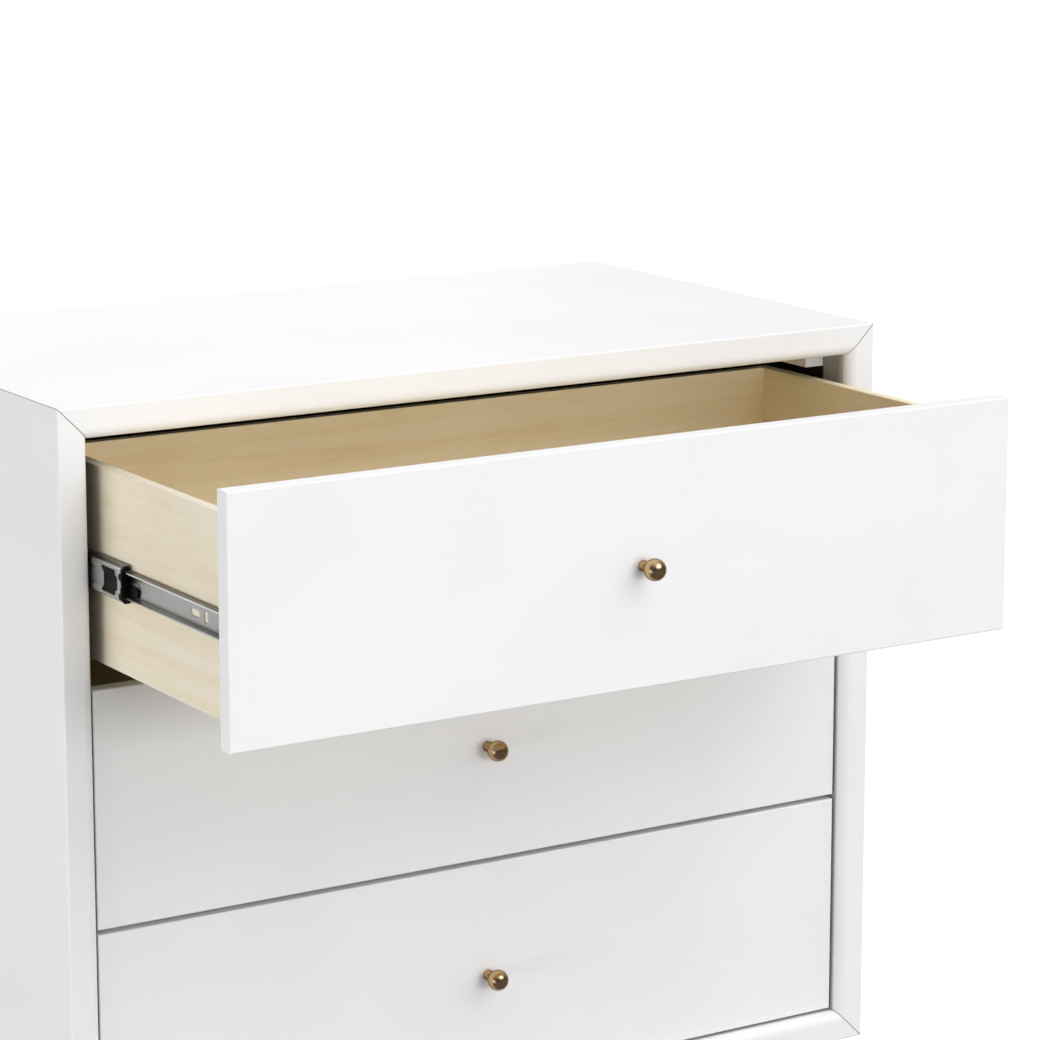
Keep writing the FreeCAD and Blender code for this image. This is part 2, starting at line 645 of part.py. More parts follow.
def build():
    nodes, case_screws, case_holes = {}, [], wall_anchor_holes()
    left_rails = []
    for index in range(drawer_count):
        moved, (rail, screws, holes) = drawer(index)
        nodes.update(moved)
        left_rails.append(rail)
        case_screws += screws + [mirrored_x(shape) for shape in screws]
        case_holes += holes + [mirrored_x(shape) for shape in holes]
    nodes["cabinet_rails_left"] = left_rails
    nodes["cabinet_rails_right"] = [mirrored_x(rail) for rail in left_rails]

    nodes["corner_battens"] = []
    for x_side in (-1, 1):
        for z_side in (-1, 1):
            solids, screws, holes = batten(x_side, z_side)
            nodes["corner_battens"] += solids
            case_screws += screws
            case_holes += holes

    board, screws, holes = back_panel()
    nodes["back_panel"] = [board]
    case_screws += screws
    case_holes += holes

    nodes["leg_plates"], nodes["leg_glides"] = [], []
    for name, (x, y) in leg_places().items():
        made = leg(x, y)
        nodes[name] = [made["leg"]]
        nodes["leg_plates"].append(made["plate"])
        nodes["leg_glides"].append(made["glide"])
        case_screws += made["metal"]
        case_holes += made["holes"]
    nodes["case_screws"] = case_screws

    for name, panel in case_panels().items():
        near = [hole for hole in case_holes if hole.BoundBox.intersect(panel.BoundBox)]
        nodes[name] = pieces(cut(panel, near))
    return nodes


def save(name, shapes):
    solids = [solid for shape in shapes for solid in shape.Solids]
    whole = solids[0] if len(solids) == 1 else Part.makeCompound(solids)
    whole.exportStep(os.path.join("parts", name + ".step"))


os.makedirs("parts", exist_ok=True)
for node_name, node_shapes in build().items():
    save(node_name, node_shapes)
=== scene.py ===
import math

import bpy
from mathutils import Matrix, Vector


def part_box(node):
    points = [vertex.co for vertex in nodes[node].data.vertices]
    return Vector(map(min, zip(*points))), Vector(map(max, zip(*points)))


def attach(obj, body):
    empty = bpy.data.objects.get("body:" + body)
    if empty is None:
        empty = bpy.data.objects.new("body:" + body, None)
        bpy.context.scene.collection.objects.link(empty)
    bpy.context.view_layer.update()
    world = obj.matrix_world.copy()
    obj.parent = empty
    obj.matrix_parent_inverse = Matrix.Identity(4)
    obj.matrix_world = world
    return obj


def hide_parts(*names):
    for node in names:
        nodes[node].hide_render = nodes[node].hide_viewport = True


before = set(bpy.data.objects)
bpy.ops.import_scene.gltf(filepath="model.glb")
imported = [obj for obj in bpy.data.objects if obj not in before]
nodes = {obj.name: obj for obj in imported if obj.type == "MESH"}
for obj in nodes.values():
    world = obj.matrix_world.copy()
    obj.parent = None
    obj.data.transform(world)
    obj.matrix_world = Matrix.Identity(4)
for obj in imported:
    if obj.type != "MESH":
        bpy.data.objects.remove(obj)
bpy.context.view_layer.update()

mm = 0.001
panelThickness = 30 * mm   # of the case's four panels
print("frame loaded:", len(nodes), "nodes")


# small helpers

def linear(code):  # sRGB hex to the linear colour that a shader takes
    parts = [int(code[i:i + 2], 16) / 255 for i in (1, 3, 5)]
    return [c / 12.92 if c <= 0.04045 else ((c + 0.055) / 1.055) ** 2.4 for c in parts] + [1.0]


def addNode(tree, kind, values=None, links=None, **settings):
    node = tree.nodes.new(kind)
    for name, value in settings.items():
        setattr(node, name, value)
    for name, value in (values or {}).items():
        node.inputs[name].default_value = value
    for name, source in (links or {}).items():
        tree.links.new(source, node.inputs[name])
    return node


def feedSockets(tree, sockets, parts):
    # each part is a number or another node's output
    for socket, part in zip(sockets, parts):
        if isinstance(part, (int, float)):
            socket.default_value = part
        else:
            tree.links.new(part, socket)


def addMath(tree, operation, *parts):
    node = addNode(tree, "ShaderNodeMath", operation=operation)
    feedSockets(tree, node.inputs, parts)
    return node.outputs["Value"]


def addRange(tree, value, start, end, low=0.0, high=1.0):
    # turns a value from start to end in to one from low to high
    ends = {"From Min": start, "From Max": end, "To Min": low, "To Max": high}
    return addNode(tree, "ShaderNodeMapRange", ends, {"Value": value}).outputs["Result"]


def addNoise(tree, size, detail, place, **more):
    # size is how far apart its soft spots lie
    return addNode(tree, "ShaderNodeTexNoise", {"Scale": 1 / size, "Detail": detail, **more},
                   {"Vector": place}).outputs["Fac"]


def addBump(tree, shader, height, depth):
    bump = addNode(tree, "ShaderNodeBump", {"Strength": 1.0, "Distance": depth}, {"Height": height})
    tree.links.new(bump.outputs["Normal"], shader.inputs["Normal"])


def coverColour(tree, under, cover, amount):
    # lays a hex colour over another node's colour
    mix = addNode(tree, "ShaderNodeMix", {7: linear(cover)}, {0: amount, 6: under}, data_type="RGBA")
    return mix.outputs[2]


def blendValues(tree, amount, first, second):
    node = addNode(tree, "ShaderNodeMix", links={0: amount}, data_type="FLOAT")
    feedSockets(tree, node.inputs[2:4], (first, second))
    return node.outputs[0]


def startMaterial(name, **values):
    material = bpy.data.materials.new(name)
    material.use_nodes = True
    tree = material.node_tree
    tree.nodes.clear()
    shader = addNode(tree, "ShaderNodeBsdfPrincipled", values)
    addNode(tree, "ShaderNodeOutputMaterial", links={"Surface": shader.outputs["BSDF"]})
    place = addNode(tree, "ShaderNodeTexCoord").outputs["Object"]
    return material, tree, shader, place


def rampColours(node, stops):
    # stops are pairs of a position and a hex colour
    stops = list(stops)
    ramp = node.color_ramp
    while len(ramp.elements) < len(stops):
        ramp.elements.new(0.5)
    for element, (position, code) in zip(ramp.elements, stops):
        element.position = position
        element.color = linear(code)


# camera

camera = {
    "place": (-1.7812, -3.0164, 1.4533),   # metres, from the origin under the chest
    "turn": 31.945,                        # degrees to the right of straight in
    "dip": 10.937,                         # degrees down
    "lens": 129.4,                         # millimetres, on a sensor of the width below
    "sensor": 36,
    "shiftY": -0.08,
    "farthest": 100,                       # metres that it sees
}


def makeCamera(c):
    turned = (math.radians(90 - c["dip"]), 0, -math.radians(c["turn"]))
    bpy.ops.object.select_all(action="DESELECT")
    bpy.ops.object.camera_add(location=c["place"], rotation=turned)
    made = bpy.context.object
    made.data.lens = c["lens"]
    made.data.sensor_width = c["sensor"]
    made.data.shift_y = c["shiftY"]
    made.data.clip_end = c["farthest"]
    bpy.context.scene.camera = made


makeCamera(camera)
print("camera set")


# materials

# Polyurethane lacquer sprayed over MDF: clean white and satin, with a faint orange peel in its highlights.
# Inside the case the white fades to grey just behind the opening, as painted shade, and then to a dull black
# that is partly a dark sealer and partly painted shade, starting further in on the right than on the left.
lacquer = {
    "colour": "#F1F1F2", "shade": "#EEEEF0", "roughness": 0.5, "battenRoughness": 0.55, "ior": 1.48,
    "peel": 2.5 * mm, "peelHeight": 0.012 * mm,   # coarser and deeper than real spray, so that it shows
    "cloud": 180 * mm, "stops": (0.35, 0.65),
    # painted shade inside the case: a dull black, partly a dark sealer, behind a ragged edge
    "sealerAndShade": "#17130F", "sealerAndShadeRoughness": 0.85,
    "shadeStartDepths": (8 * mm, 43 * mm),             # how far the white runs in to the case before the painted shade, left and right
    "shadeEdgeWidth": 1.5 * mm, "wobble": 12 * mm, "slack": 0.1 * mm,
    "paintedShadeGrey": "#A3A6A4", "shadeGreyStart": 5 * mm, "shadeGreyFull": 18 * mm,   # painted shade: a grey that fades in just inside the opening
    "mitre": "#8A8A88", "mitreReach": 0.6 * mm,   # along X or Z, to each side, wide enough to show
}


def makeLacquer(name, m, roughness=None):
    material, tree, shader, place = startMaterial(name, Roughness=roughness or m["roughness"], IOR=m["ior"])
    ramp = addNode(tree, "ShaderNodeValToRGB", links={"Fac": addNoise(tree, m["cloud"], 2.0, place)})
    rampColours(ramp, zip(m["stops"], (m["shade"], m["colour"])))
    tree.links.new(ramp.outputs["Color"], shader.inputs["Base Color"])
    addBump(tree, shader, addNoise(tree, m["peel"], 1.0, place), m["peelHeight"])
    return material


# Clear-lacquered poplar: pale cream, with soft growth bands and short fine fibres along each board. The
# boards seen inside the drawer take a warmer, brighter copy, as painted light, and only the left sides keep
# the plain one.
poplar = {
    "light": "#F2E9D7", "mid": "#EEE3CB", "dark": "#E6D8B9",
    "band": 15 * mm, "fibre": 0.8 * mm, "cloud": 90 * mm, "stretch": 30,
    "shares": (0.5, 0.35, 0.22),               # of bands, fibres and clouds in the colour
    "stops": (0.38, 0.52, 0.66),
    "fibreHeight": 0.012 * mm, "roughness": 0.5, "ior": 1.5,
}
# painted light: a warmer, brighter copy of the poplar for the boards inside the drawer
paintedLightPoplar = {**poplar, "light": "#FCEFD2", "mid": "#F9E9C6", "dark": "#EFDAAC"}


def makePoplar(name, m, along, shift):
    # along is the axis that the grain runs on, 0 for X and 1 for Y
    material, tree, shader, place = startMaterial(name, Roughness=m["roughness"], IOR=m["ior"])
    squash = [1.0, 1.0, 1.0]
    squash[along] = 1 / m["stretch"]
    grain = addNode(tree, "ShaderNodeMapping", {"Location": shift, "Scale": squash},
                    {"Vector": place}).outputs["Vector"]
    band = addNoise(tree, m["band"], 3.0, grain, Roughness=0.55, Distortion=0.6)
    fibre = addNoise(tree, m["fibre"], 2.0, grain, Roughness=0.6)
    cloud = addNoise(tree, m["cloud"], 1.0, place)
    bandShare, fibreShare, cloudShare = m["shares"]
    mixed = addMath(tree, "MULTIPLY", fibre, fibreShare)
    mixed = addMath(tree, "MULTIPLY_ADD", band, bandShare, mixed)
    mixed = addMath(tree, "MULTIPLY_ADD", cloud, cloudShare, mixed)
    ramp = addNode(tree, "ShaderNodeValToRGB", links={"Fac": mixed})
    rampColours(ramp, zip(m["stops"], (m["dark"], m["mid"], m["light"])))
    tree.links.new(ramp.outputs["Color"], shader.inputs["Base Color"])
    addBump(tree, shader, fibre, m["fibreHeight"])
    return material


# Zinc-plated cold-rolled steel: cool grey metal with long rolling lines and uneven dullness. Its upward faces
# are darkened, as painted shade.
zinc = {
    "colour": "#CDCDCB", "roughness": (0.27, 0.43),   # at its shiniest and its dullest
    "line": 0.35 * mm, "lineHeight": 0.006 * mm, "stretch": 50, "blotch": 9 * mm, "blotchRange": (0.3, 0.7),
    # painted shade: faces that look up are darkened to this grey
    "upwardShade": "#85837F", "upwardShadeStart": 0.85, "upwardShadeFull": 0.97,   # how far a face looks up, from 0 to 1
}


def makeZinc(name, m):
    material, tree, shader, place = startMaterial(name, Metallic=1.0)
    facing = addNode(tree, "ShaderNodeNewGeometry").outputs["Normal"]
    upward = addNode(tree, "ShaderNodeSeparateXYZ", links={"Vector": facing}).outputs["Z"]
    # painted shade on the upward faces
    upShade = addRange(tree, upward, m["upwardShadeStart"], m["upwardShadeFull"])
    colour = addNode(tree, "ShaderNodeMix", {6: linear(m["colour"]), 7: linear(m["upwardShade"])}, {0: upShade},
                     data_type="RGBA")
    tree.links.new(colour.outputs[2], shader.inputs["Base Color"])
    rolled = addNode(tree, "ShaderNodeMapping", {"Scale": (1.0, 1 / m["stretch"], 1.0)}, {"Vector": place})
    line = addNoise(tree, m["line"], 1.0, rolled.outputs["Vector"])
    blotch = addNoise(tree, m["blotch"], 3.0, place)
    tree.links.new(addRange(tree, blotch, *m["blotchRange"], *m["roughness"]), shader.inputs["Roughness"])
    addBump(tree, shader, line, m["lineHeight"])
    return material


# Moulded black acetal: near black, waxy, with a fine spark-eroded grain.
acetal = {
    "colour": "#0B0B0C", "roughness": 0.6, "shine": 0.25, "ior": 1.48,
    "grit": 0.4 * mm, "gritHeight": 0.01 * mm,
}


def makeAcetal(name, m):
    material, tree, shader, place = startMaterial(name, **{
        "Base Color": linear(m["colour"]), "Roughness": m["roughness"], "IOR": m["ior"],
        "Specular IOR Level": m["shine"]})
    addBump(tree, shader, addNoise(tree, m["grit"], 2.0, place), m["gritHeight"])
    return material


# Turned brass with a satin champagne plate: warm, darker at the rim, with faint turning marks.
brass = {
    "colour": "#CBAD85", "rim": "#6E5843", "roughness": 0.27,
    "mark": 0.25 * mm, "markHeight": 0.003 * mm,
}


def makeBrass(name, m):
    material, tree, shader, place = startMaterial(name, **{
        "Base Color": linear(m["colour"]), "Metallic": 1.0, "Specular Tint": linear(m["rim"]),
        "Roughness": m["roughness"]})
    onAxis = addNode(tree, "ShaderNodeMapping", {"Scale": (0.0, 1.0, 0.0)}, {"Vector": place})
    addBump(tree, shader, addNoise(tree, m["mark"], 1.0, onAxis.outputs["Vector"]), m["markHeight"])
    return material


def fromMiddle(material, middle):
    # X, Y and Z on the object, then how far each point lies from its middle in X and in Z
    tree = material.node_tree
    place = tree.nodes["Texture Coordinate"].outputs["Object"]
    at = addNode(tree, "ShaderNodeSeparateXYZ", links={"Vector": place}).outputs
    across = addMath(tree, "ABSOLUTE", at["X"])
    upDown = addMath(tree, "ABSOLUTE", addMath(tree, "SUBTRACT", at["Z"], middle))
    return place, at, across, upDown


# Paints shade inside the case: a grey fading in just behind the opening, then a dull black, partly a dark
# sealer and partly painted shade, starting further in on the right wall than on the left.
def addSealer(material, m, low, high):
    # low and high are the corners of the case's inner space
    tree = material.node_tree
    shader = tree.nodes["Principled BSDF"]
    place, at, across, upDown = fromMiddle(material, (low.z + high.z) / 2)
    edge = m["shadeEdgeWidth"]
    wobble = addNoise(tree, m["wobble"], 3.0, place)
    ragged = addMath(tree, "MULTIPLY_ADD", wobble, 2 * edge, at["Y"])
    leftDepth, rightDepth = m["shadeStartDepths"]
    slope = (leftDepth - rightDepth) / (high.x - low.x)
    slanted = addMath(tree, "MULTIPLY_ADD", at["X"], slope, ragged)
    inside = addMath(tree, "LESS_THAN", across, high.x + m["slack"])
    for distance, limit in ((upDown, (high.z - low.z) / 2), (at["Y"], high.y)):
        within = addMath(tree, "LESS_THAN", distance, limit + m["slack"])
        inside = addMath(tree, "MULTIPLY", inside, within)
    whiteEnd = low.y + (leftDepth + rightDepth) / 2
    # painted shade: first the grey, then the black
    shadeLayers = ((m["paintedShadeGrey"], at["Y"], low.y + m["shadeGreyStart"], low.y + m["shadeGreyFull"]),
             (m["sealerAndShade"], slanted, whiteEnd, whiteEnd + edge))
    colour = shader.inputs["Base Color"].links[0].from_socket
    for layerColour, depth, start, full in shadeLayers:
        covered = addMath(tree, "MULTIPLY", addRange(tree, depth, start, full), inside)
        colour = coverColour(tree, colour, layerColour, covered)
    tree.links.new(colour, shader.inputs["Base Color"])
    dullness = addRange(tree, covered, 0.0, 1.0, m["roughness"], m["sealerAndShadeRoughness"])
    tree.links.new(dullness, shader.inputs["Roughness"])


def addMitreLines(material, m, low, high, back):
    # a hairline of shadow where the panels' ends meet: low and high are the corners of the whole case, and
    # the back board, which starts at back, has no line
    tree = material.node_tree
    shader = tree.nodes["Principled BSDF"]
    place, at, across, upDown = fromMiddle(material, (low.z + high.z) / 2)
    corner = high.x - (high.z - low.z) / 2
    line = addMath(tree, "COMPARE", addMath(tree, "SUBTRACT", across, upDown), corner, m["mitreReach"])
    line = addMath(tree, "MULTIPLY", line, addMath(tree, "LESS_THAN", at["Y"], back))
    colour = shader.inputs["Base Color"].links[0].from_socket
    tree.links.new(coverColour(tree, colour, m["mitre"], line), shader.inputs["Base Color"])


whiteLacquer = makeLacquer("whiteLacquer", lacquer)
caseLacquer = makeLacquer("caseLacquer", lacquer)
caseLow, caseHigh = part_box("bottom_panel")[0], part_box("top_panel")[1]
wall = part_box("left_panel")[0].x + panelThickness   # the left panel's inner face
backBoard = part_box("back_panel")[0].y
insideLow = Vector((wall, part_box("left_panel")[0].y, caseLow.z + panelThickness))
insideHigh = Vector((-wall, backBoard, caseHigh.z - panelThickness))
addSealer(caseLacquer, lacquer, insideLow, insideHigh)
addMitreLines(caseLacquer, lacquer, caseLow, caseHigh, backBoard)
battenLacquer = makeLacquer("battenLacquer", lacquer, lacquer["battenRoughness"])
zincSteel = makeZinc("zincSteel", zinc)
blackAcetal = makeAcetal("blackAcetal", acetal)
champagneBrass = makeBrass("champagneBrass", brass)
# the boards inside each drawer take the painted-light copy, the left sides the plain poplar
poplarAcross = [makePoplar(f"paintedLightPoplarAcross{i}", paintedLightPoplar, 0, (0.3 * i, 0, 0.11 * i)) for i in range(3)]
poplarDeep = [makePoplar(f"paintedLightPoplarDeep{i}", paintedLightPoplar, 1, (0, 0.4 * i, 0.13 * i)) for i in range(3)]
palePoplar = [makePoplar(f"palePoplarDeep{i}", poplar, 1, (0, 0.4 * i, 0.13 * i)) for i in range(3)]


def finish(name, material):
    node = nodes[name]
    node.data.materials.clear()
    node.data.materials.append(material)


for name in nodes:
    which, part = 0, name
    if name.startswith("drawer_"):
        number, part = name.removeprefix("drawer_").split("_", 1)
        which = int(number) - 1
    if part == "side_left":
        finish(name, palePoplar[which])
    elif part == "side_right":
        finish(name, poplarDeep[which])
    elif part in ("inner_front", "back", "bottom"):
        finish(name, poplarAcross[which])
    elif part == "knob":
        finish(name, champagneBrass)
    elif part in ("rail_bumpers", "release_levers", "leg_glides"):
        finish(name, blackAcetal)
    elif part == "corner_battens":
        finish(name, battenLacquer)
    elif "rail" in part or part in ("ball_cages", "fixings", "case_screws", "leg_plates"):
        finish(name, zincSteel)
    elif part.endswith("_panel"):
        finish(name, caseLacquer)
    else:
        finish(name, whiteLacquer)
print("finishes given")


# modelling helpers

def pick(*pieces):
    bpy.ops.object.select_all(action="DESELECT")
    for piece in pieces:
        piece.select_set(True)
    bpy.context.view_layer.objects.active = pieces[0]


def stopEditing():
    bpy.ops.object.mode_set(mode="OBJECT")


def choosePoints(piece, test):
    # in edit mode: test is given each point's place
    bpy.ops.mesh.select_mode(type="VERT")
    bpy.ops.mesh.select_all(action="DESELECT")
    bpy.ops.object.mode_set(mode="OBJECT")
    for point in piece.data.vertices:
        point.select = test(point.co)
    bpy.ops.object.mode_set(mode="EDIT")


def push(way):
    bpy.ops.mesh.extrude_region_move(TRANSFORM_OT_translate={"value": way})


def settle(piece, angle=35):
    # the place goes in to the mesh, the faces point outwards and gentle bends are shaded smooth
    pick(piece)
    bpy.ops.object.transform_apply(location=True, rotation=True, scale=True)
    bpy.ops.object.mode_set(mode="EDIT")
    bpy.ops.mesh.select_all(action="SELECT")
    bpy.ops.mesh.remove_doubles(threshold=0.001 * mm)
    bpy.ops.mesh.normals_make_consistent(inside=False)
    stopEditing()
    bpy.ops.object.shade_smooth_by_angle(angle=math.radians(angle))


def modify(piece, kind, **settings):
    pick(piece)
    modifier = piece.modifiers.new(kind.lower(), kind)
    for name, value in settings.items():
        setattr(modifier, name, value)
    bpy.ops.object.modifier_apply(modifier=modifier.name)


def easeEdges(piece, width, segments=2, angle=40):
    modify(piece, "BEVEL", width=width, segments=segments, limit_method="ANGLE",
           angle_limit=math.radians(angle))


def drawLine(name, points):
    # a line drawn as by hand: one corner, extruded from point to point
    bpy.ops.object.select_all(action="DESELECT")
    bpy.ops.mesh.primitive_plane_add(size=mm, location=points[0])
    piece = bpy.context.object
    piece.name = piece.data.name = name
    bpy.ops.object.mode_set(mode="EDIT")
    bpy.ops.mesh.select_mode(type="VERT")
    bpy.ops.mesh.merge(type="CENTER")
    for start, end in zip(points, points[1:]):
        push(end - start)
    return piece


def drawBlock(name, points, way):
    # an outline, filled and pushed one way
    piece = drawLine(name, points)
    bpy.ops.mesh.select_all(action="SELECT")
    bpy.ops.mesh.edge_face_add()
    push(way)
    stopEditing()
    settle(piece)
    return piece


def cutAway(piece, cutter):
    modify(piece, "BOOLEAN", object=cutter, operation="DIFFERENCE", solver="EXACT")
    bpy.data.objects.remove(cutter)


def addTo(piece, other):
    modify(piece, "BOOLEAN", object=other, operation="UNION", solver="EXACT")
    bpy.data.objects.remove(other)


def copyPiece(piece, name, shift, mirrored=False):
    pick(piece)
    bpy.ops.object.duplicate(linked=False)
    made = bpy.context.object
    made.name = made.data.name = name
    made.location = shift
    if mirrored:
        made.scale.x = -1
    settle(made)
    return made


def joinPieces(first, other):
    pick(first, other)
    bpy.ops.object.join()


def place(piece, material, body, slot, *stoodFor):
    piece.data.materials.clear()
    piece.data.materials.append(material)
    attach(piece, body)
    if stoodFor:
        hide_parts(*stoodFor)


def mirrorDown(half):
    # the upper half of an outline, then its mirror image below the middle
    return half + [(x, -z) for x, z in reversed(half) if z]


def ringPoints(centre, axisA, axisB, radius, count, start=0.0, turn=360.0):
    steps = [math.radians(start + turn * i / count) for i in range(count + (turn < 360))]
    return [centre + axisA * radius * math.cos(a) + axisB * radius * math.sin(a) for a in steps]


right, deep, up = Vector((1, 0, 0)), Vector((0, 1, 0)), Vector((0, 0, 1))
drawers = [1, 2, 3]


def inEachDrawer(first, name, node):
    # the top drawer's piece, then a copy for each other drawer, as far away as their CAD nodes are
    for i in drawers:
        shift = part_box(node.format(i))[0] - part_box(node.format(1))[0]
        yield i, first if i == 1 else copyPiece(first, f"{name}{i}", shift)


# knobs

# Turned in one piece: a short stem, a neck, a thin collar and a ball.
knob = {
    "reach": 19.6 * mm, "ball": 10 * mm, "ballRings": 24, "sides": 72,
    "stem": 4.9 * mm, "stemLength": 7.2 * mm, "neck": 3.6 * mm, "neckLength": 1.0 * mm,
    "collar": 5.4 * mm, "collarLength": 1.4 * mm, "edge": 0.35 * mm,
    "seat": 4.5 * mm,    # radius where the ball grows out of the collar
    "poleGap": 0.03,     # radians at the ball's far pole that stay flat
}


def knobProfile(k):
    edge, stemEnd = k["edge"], k["stemLength"]
    neckEnd = stemEnd + k["neckLength"]
    collarEnd = neckEnd + k["collarLength"]
    points = [(0, k["stem"]), (stemEnd - edge, k["stem"]), (stemEnd, k["stem"] - edge),
              (stemEnd, k["neck"]), (neckEnd, k["neck"]), (neckEnd, k["collar"] - edge),
              (neckEnd + edge, k["collar"]), (collarEnd - edge, k["collar"]), (collarEnd, k["collar"] - edge)]
    first, last = math.asin(k["seat"] / k["ball"]), math.pi - k["poleGap"]
    for i in range(k["ballRings"]):
        angle = first + (last - first) * i / (k["ballRings"] - 1)
        points.append((k["reach"] - k["ball"] * math.cos(angle), k["ball"] * math.sin(angle)))
    return points


def makeKnob(k, foot):
    profile = knobProfile(k)
    bpy.ops.object.select_all(action="DESELECT")
    bpy.ops.mesh.primitive_circle_add(vertices=k["sides"], radius=profile[0][1], fill_type="NGON",
                                      location=foot, rotation=(math.radians(90), 0, 0))
    piece = bpy.context.object
    bpy.ops.object.mode_set(mode="EDIT")
    for (y0, r0), (y1, r1) in zip(profile, profile[1:]):
        push((0, y0 - y1, 0))
        bpy.ops.transform.resize(value=(r1 / r0, 1, r1 / r0), center_override=foot - deep * y1)
    stopEditing()
    settle(piece)
    return piece


low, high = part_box("drawer_1_knob")
firstKnob = makeKnob(knob, Vector(((low.x + high.x) / 2, high.y, (low.z + high.z) / 2)))
firstKnob.name = firstKnob.data.name = "turnedKnob1"
for i, piece in inEachDrawer(firstKnob, "turnedKnob", "drawer_{}_knob"):
    place(piece, champagneBrass, f"drawer_{i}", "knob_brass", f"drawer_{i}_knob")
print("knobs turned")


# rails

# The steel's distances from the case wall, heights from the rail's middle and depths from its front end.
rail = {
    "sheet": 1.2 * mm, "bend": 1.1 * mm, "drawerBend": 0.5 * mm, "bendSteps": 3,
    "middleWeb": 3.4 * mm, "joggleStart": 6.1 * mm, "joggleEnd": 7.3 * mm, "middleLip": 10.9 * mm,
    "middleWebHalf": 14.7 * mm, "middleLipHalf": 16.05 * mm,
    "rib": 7.0 * mm, "ribHalf": 0.9 * mm, "ribSlope": 0.8 * mm, "ribDepth": 0.55 * mm,
    "drawerWeb": 12.1 * mm, "drawerTip": 5.6 * mm, "drawerHalf": 11.4 * mm,
    "trackStart": 6.9 * mm, "trackEnd": 10.3 * mm, "trackDip": 0.6 * mm,
    "drawerHoles": (232 * mm, 285 * mm, 338 * mm), "holeRadius": 3.05 * mm,
    "twinSlot": 36 * mm, "twinSlotHalf": 4.2 * mm, "twinSlotRadius": 2.7 * mm, "twinSlotOffset": 2.4 * mm,
    "longSlot": 56 * mm, "longSlotHalf": 8.8 * mm, "longSlotRadius": 3.3 * mm,
    "slotSteps": 16, "edge": 0.35 * mm, "edgeAngle": 60,
    "cutFrom": 2 * mm, "cutDepth": 4 * mm,   # where a cutter starts before the sheet, and how far it goes
}
# The opening in the middle rail's web. Its ends have ears, so the steel bridge in front of it is waisted.
window = {
    "front": 6.6 * mm, "frontEar": 11.0 * mm, "rear": 37.5 * mm, "notch": 4.5 * mm,
    "half": 11.5 * mm, "earHalf": 7.6 * mm, "earSlope": 2.0 * mm,
    "notchHalf": 5.2 * mm, "notchSlope": 4.8 * mm,
}


def windowOutline(w, margin=0.0):
    front, ear = w["front"] + margin, w["frontEar"] + margin
    rear, notch = w["rear"] - margin, w["rear"] - w["notch"] - margin
    upper = [(front, w["earHalf"] - w["earSlope"] - margin), (ear, w["earHalf"] - margin),
             (ear, w["half"] - margin), (rear, w["half"] - margin),
             (rear, w["notchHalf"] + w["notchSlope"] + margin), (notch, w["notchHalf"] + margin)]
    return mirrorDown(upper)


def rollSheet(name, section, nose, length, r):
    # a strip with its section's corners bent round, then drawn out to its length; its thickness comes later
    piece = drawLine(name, [Vector((wall + x, nose.y, nose.z + z)) for x, z in section])
    bpy.ops.mesh.select_all(action="SELECT")
    bpy.ops.mesh.bevel(affect="VERTICES", offset=r["bend"], segments=r["bendSteps"])
    bpy.ops.mesh.select_mode(type="EDGE")
    bpy.ops.mesh.select_all(action="SELECT")
    push(deep * length)
    stopEditing()
    settle(piece)
    return piece


def middleRailPiece(name, nose, length, r, w):
    half = [(r["middleLip"], r["middleLipHalf"]), (r["joggleEnd"], r["middleLipHalf"]),
            (r["joggleStart"], r["middleWebHalf"]), (r["middleWeb"], r["middleWebHalf"])]
    piece = rollSheet(name, mirrorDown(half), nose, length, r)
    pick(piece)
    bpy.ops.object.mode_set(mode="EDIT")
    flat = r["ribHalf"] - r["ribSlope"]
    for side in (-1, 1):
        for offset in (-r["ribHalf"], -flat / 2, flat / 2, r["ribHalf"]):
            height = nose.z + side * r["rib"] + offset
            bpy.ops.mesh.select_all(action="SELECT")
            bpy.ops.mesh.bisect(plane_co=(wall, nose.y, height), plane_no=(0, 0, 1))
    bpy.ops.mesh.select_all(action="SELECT")
    bpy.ops.mesh.bisect(plane_co=(wall, nose.y + w["rear"] - w["notch"], nose.z), plane_no=(0, 1, 0))
    start = nose.y + w["rear"]
    choosePoints(piece, lambda p: abs(abs(p.z - nose.z) - r["rib"]) < flat and p.y > start)
    bpy.ops.transform.translate(value=right * r["ribDepth"])
    stopEditing()
    modify(piece, "SOLIDIFY", thickness=r["sheet"], offset=0)
    cutterFace = wall + r["middleWeb"] - r["cutFrom"]
    outline = [Vector((cutterFace, nose.y + y, nose.z + z)) for y, z in windowOutline(w)]
    cutAway(piece, drawBlock("windowCutter", outline, right * r["cutDepth"]))
    easeEdges(piece, r["edge"], angle=r["edgeAngle"])
    settle(piece)
    return piece


def slotOutline(centre, half, radius, steps):
    return (ringPoints(centre + deep * (half - radius), deep, up, radius, steps // 2, -90, 180)
            + ringPoints(centre - deep * (half - radius), deep, up, radius, steps // 2, 90, 180))


